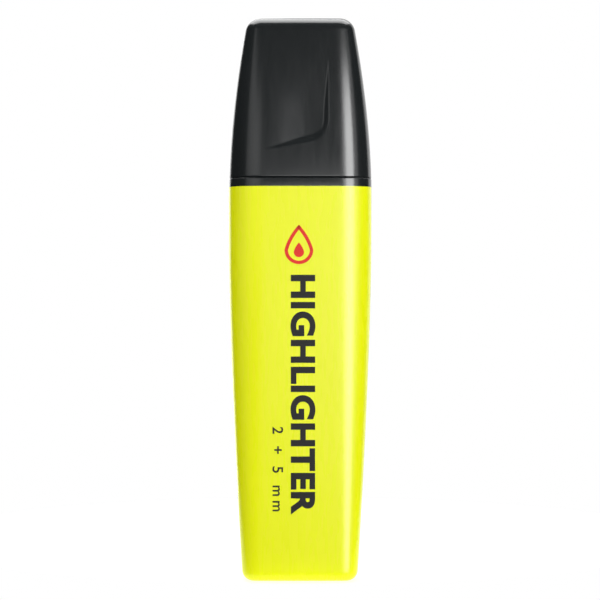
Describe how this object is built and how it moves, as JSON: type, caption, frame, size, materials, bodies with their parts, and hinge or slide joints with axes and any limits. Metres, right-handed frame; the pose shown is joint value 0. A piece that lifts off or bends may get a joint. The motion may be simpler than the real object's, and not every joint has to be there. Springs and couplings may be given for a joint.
{
  "type": "highlighter pen",
  "caption": "Flat wedge-shaped highlighter with a yellow barrel, a chisel nib and a black push-on cap with finger scoops, standing on its flat end.",
  "frame": {"origin": "centre of the barrel's flat closed end, which the pen stands on", "axes": "+Z along the pen from the flat end to the cap, X across the broad faces (width), Y through the pen (thickness); the printed face looks along -Y"},
  "size_m": [0.0268, 0.017, 0.105],
  "materials": {
    "barrel_plastic": "fluorescent yellow moulded polypropylene, satin",
    "black_plastic": "near-black moulded polypropylene, fine satin",
    "nib_fibre": "bonded polyester fibre soaked with yellow ink",
    "reservoir_fibre": "bonded polyester fibre soaked with yellow ink",
    "film": "clear polypropylene film",
    "seal_plastic": "natural polyethylene, milky"
  },
  "bodies": {
    "pen": {"barrel": "barrel_plastic", "front_section": "black_plastic", "nib": "nib_fibre", "reservoir_core": "reservoir_fibre", "reservoir_film": "film"},
    "cap": {"cap_shell": "black_plastic", "cap_seal_sleeve": "seal_plastic"}
  },
  "joints": [
    {"name": "cap_pull", "type": "slide", "parent": "pen", "child": "cap", "axis": [0, 0, 1], "range_m": [0, 0.03]}
  ]
}
